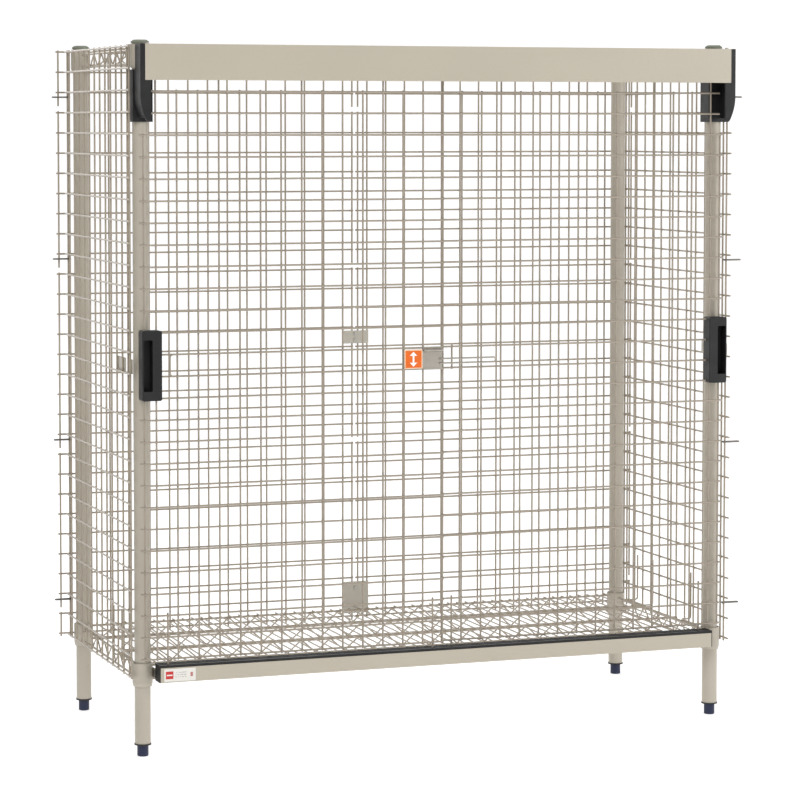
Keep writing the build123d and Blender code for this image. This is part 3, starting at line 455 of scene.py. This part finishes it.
beadFaces = 0
for side, name in ((-1, "left"), (1, "right")):
    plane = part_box(name + "_door_hanger")[1].y
    top = doorMesh["bottomRow"] + doorMesh["rowSpacing"] * (doorMesh["rows"] - 1)
    rows = (doorMesh["bottomRow"], top, doorMesh["rows"])
    across = sorted((side * doorMesh["meetingWire"], side * doorMesh["outerWire"]))
    beadFaces += makeWelds(name + "DoorWelds", name + "_door", "doorCoat",
                           across, doorMesh["columns"], rows, plane)

    low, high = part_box(name + "_side_panel")
    rows = (low.z + panelMesh["wireTail"], high.z - panelMesh["wireEnd"], panelMesh["rows"])
    ends = (low.y + panelMesh["frontStub"], high.y - panelMesh["rearStub"])
    beadFaces += panelWelds(name + "Side", ends, panelMesh["sideEdgeGap"],
                            panelMesh["sideColumns"], rows, (low.x + high.x) / 2, False)

    low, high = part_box(name + "_rear_panel")
    outer = max(abs(low.x), abs(high.x)) - panelMesh["rearOuterStub"]
    ends = sorted((side * panelMesh["rearMiddleWire"], side * outer))
    beadFaces += panelWelds(name + "Rear", ends, panelMesh["rearEdgeGap"],
                            panelMesh["rearColumns"], rows, (low.y + high.y) / 2, True)
print("weld beads:", beadFaces, "faces")

wear("latch_label", latchFilm())
wear("rail_label", railFilm())
print("finishes worn")

# camera, floor and light; angles are in degrees
cameraSettings = {
    "at": (-2.5249, -6.8766, 1.4959), "yaw": 19.44, "pitch": -3.27,
    "lens": 130.97, "sensor": 36, "shift": (0.0473, -0.1376), "farthest": 60,
}
backdropSizes = {"reach": 14.0, "rise": 9.0, "back": 9.0, "curve": 4.0, "steps": 16, "glow": 0.5}
backdropLook = {
    "specular": 0.2, "white": (0.9, 0.9, 0.9), "shade": (0.88, 0.88, 0.88), "cloudScale": 0.5,
    "sheenScale": 6.0, "sheenSpread": 0.1, "roughness": 0.7,
}


def makeBackdrop(sizes, look):  # a pale floor that curves up into a wall, square to the camera
    bend = sizes["back"] - sizes["curve"]
    points = [(-sizes["reach"], 0.0)]
    for n in range(sizes["steps"] + 1):
        turn = math.pi / 2 * n / sizes["steps"]
        points.append((bend + sizes["curve"] * math.sin(turn),
                       sizes["curve"] * (1 - math.cos(turn))))
    points.append((sizes["back"], sizes["rise"]))
    verts = [(x, y, z) for x in (-sizes["reach"], sizes["reach"]) for y, z in points]
    count = len(points)
    faces = [(n, n + count, n + count + 1, n + 1) for n in range(count - 1)]
    mesh = bpy.data.meshes.new("backdrop")
    mesh.from_pydata(verts, [], faces)
    mesh.shade_smooth()
    backdrop = bpy.data.objects.new("backdrop", mesh)
    scene.collection.objects.link(backdrop)
    backdrop.rotation_euler.z = math.radians(-cameraSettings["yaw"])
    paint = Paint("paleFloor", specular=look["specular"])
    paint.link("Base Color", paint.blend(paint.noise(look["cloudScale"]), look["white"],
                                         look["shade"]))
    sheen = paint.noise(look["sheenScale"]) * look["sheenSpread"]
    paint.link("Roughness", sheen + look["roughness"])
    paint.shader.inputs["Emission Color"].default_value = (1, 1, 1, 1)
    paint.shader.inputs["Emission Strength"].default_value = sizes["glow"]
    mesh.materials.append(paint.material)


makeBackdrop(backdropSizes, backdropLook)

lights = {
    "keyLight": {"at": (-3.2, -4.6, 4.6), "aim": (0, 0, 0.8), "size": 3.2, "power": 150},
    "fillLight": {"at": (4.4, -4.0, 2.6), "aim": (0, 0, 0.9), "size": 3.6, "power": 120},
    "topLight": {"at": (0.4, 0.6, 5.2), "aim": (0, 0, 0), "size": 4.0, "power": 60},
    "backLight": {"at": (-2.0, 5.0, 3.6), "aim": (0, 0, 1.0), "size": 3.2, "power": 60},
}
for name, light in lights.items():
    lamp = bpy.data.lights.new(name, "AREA")
    lamp.shape = "DISK"
    lamp.size = light["size"]
    lamp.energy = light["power"]
    holder = bpy.data.objects.new(name, lamp)
    holder.location = light["at"]
    aim = Vector(light["aim"]) - Vector(light["at"])
    holder.rotation_mode = "QUATERNION"
    holder.rotation_quaternion = aim.to_track_quat("-Z", "Y")
    scene.collection.objects.link(holder)

worldSettings = {"colour": (1, 1, 1, 1), "strength": 0.3}
world = bpy.data.worlds.new("studio")
world.use_nodes = True
background = world.node_tree.nodes["Background"]
background.inputs["Color"].default_value = worldSettings["colour"]
background.inputs["Strength"].default_value = worldSettings["strength"]
scene.world = world
scene.view_settings.view_transform = "Standard"

cameraData = bpy.data.cameras.new("studioCamera")
cameraData.lens = cameraSettings["lens"]
cameraData.sensor_width = cameraSettings["sensor"]
cameraData.shift_x, cameraData.shift_y = cameraSettings["shift"]
cameraData.clip_end = cameraSettings["farthest"]
camera = bpy.data.objects.new("studioCamera", cameraData)
camera.location = cameraSettings["at"]
camera.rotation_euler = (math.radians(90 + cameraSettings["pitch"]), 0,
                         math.radians(-cameraSettings["yaw"]))
scene.collection.objects.link(camera)
scene.camera = camera
print("stage, lights and camera made")
